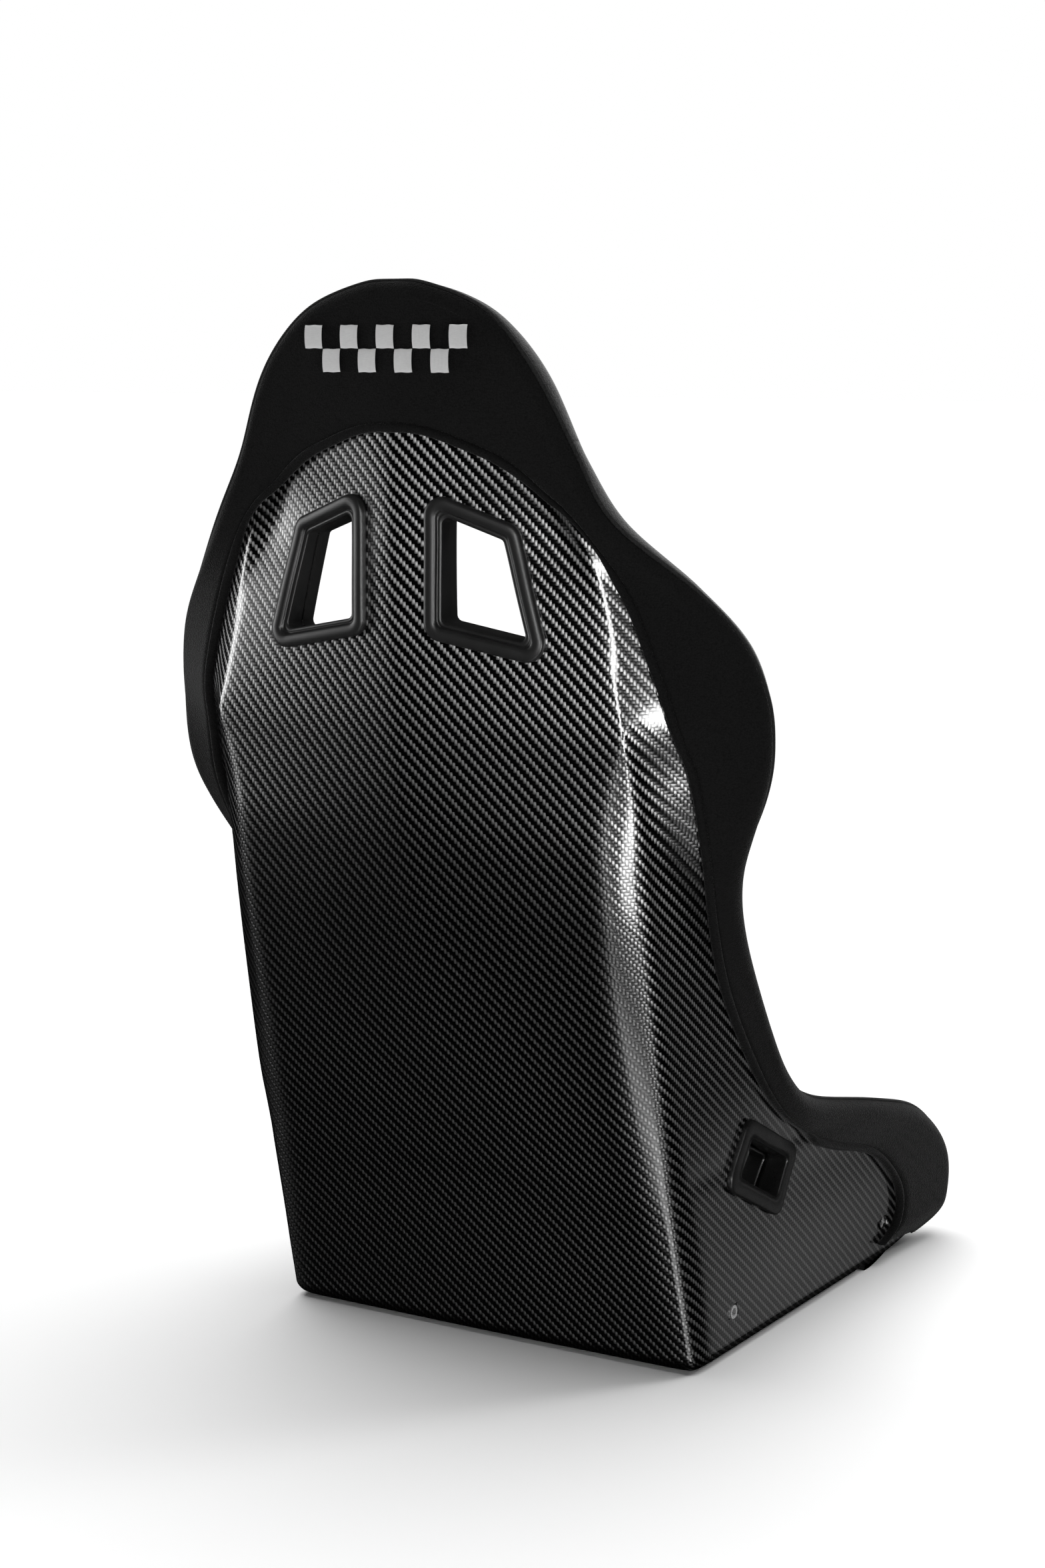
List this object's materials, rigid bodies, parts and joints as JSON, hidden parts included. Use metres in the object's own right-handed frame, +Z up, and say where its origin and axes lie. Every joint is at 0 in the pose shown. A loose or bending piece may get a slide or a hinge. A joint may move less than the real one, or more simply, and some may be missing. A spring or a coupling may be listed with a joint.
{
  "type": "racing seat",
  "caption": "Fixed-back bucket racing seat with a moulded laminate shell, padded fabric cover, belt openings and threaded side mounts.",
  "frame": {"origin": "on the flat underside of the base, on the centre plane, midway between the front and rear mounting inserts", "axes": "+Z up, -Y towards the front of the seat, +X to the occupant's left"},
  "size_m": [0.5616, 0.6258, 0.881],
  "materials": {
    "carbon_laminate": "twill weave laminate under a high-gloss clear coat",
    "cover_fabric": "fine black knit over foam",
    "piping_fabric": "woven piping",
    "bezel_plastic": "satin moulded plastic with a fine grain",
    "hook_loop": "hook and loop tape",
    "plate_aluminium": "plain plate",
    "insert_steel": "zinc-plated steel",
    "embroidery": "raised white satin stitch"
  },
  "bodies": {
    "seat_shell": {"shell": "carbon_laminate", "rear_cover": "cover_fabric", "hem_roll": "cover_fabric", "rim_piping": "piping_fabric", "head_bolster": "cover_fabric", "head_pad": "cover_fabric", "shoulder_bolster_left": "cover_fabric", "shoulder_bolster_right": "cover_fabric", "thigh_bolster_left": "cover_fabric", "thigh_bolster_right": "cover_fabric", "upper_back_pad": "cover_fabric", "back_pad": "cover_fabric", "leg_cushion": "cover_fabric", "harness_bezel_rear_left": "bezel_plastic", "harness_bezel_rear_right": "bezel_plastic", "harness_bezel_front_left": "bezel_plastic", "harness_bezel_front_right": "bezel_plastic", "lap_bezel_outer_left": "bezel_plastic", "lap_bezel_outer_right": "bezel_plastic", "lap_bezel_inner_left": "bezel_plastic", "lap_bezel_inner_right": "bezel_plastic", "crotch_grommet": "bezel_plastic", "mount_plate_left": "plate_aluminium", "mount_plate_right": "plate_aluminium", "mount_inserts": "insert_steel", "shell_loop_strips": "hook_loop", "head_motif": "embroidery"},
    "seat_pad": {"seat_cushion": "cover_fabric", "seat_hook_strips": "hook_loop"},
    "lumbar_pad": {"lumbar_cushion": "cover_fabric", "lumbar_hook_strips": "hook_loop"}
  },
  "joints": [
    {"name": "seat_cushion_lift", "type": "slide", "parent": "seat_shell", "child": "seat_pad", "axis": [0, 0, 1], "range_m": [0, 0.095]},
    {"name": "lumbar_cushion_pull", "type": "slide", "parent": "seat_shell", "child": "lumbar_pad", "axis": [0, -0.9682, 0.25], "range_m": [0, 0.11]}
  ]
}
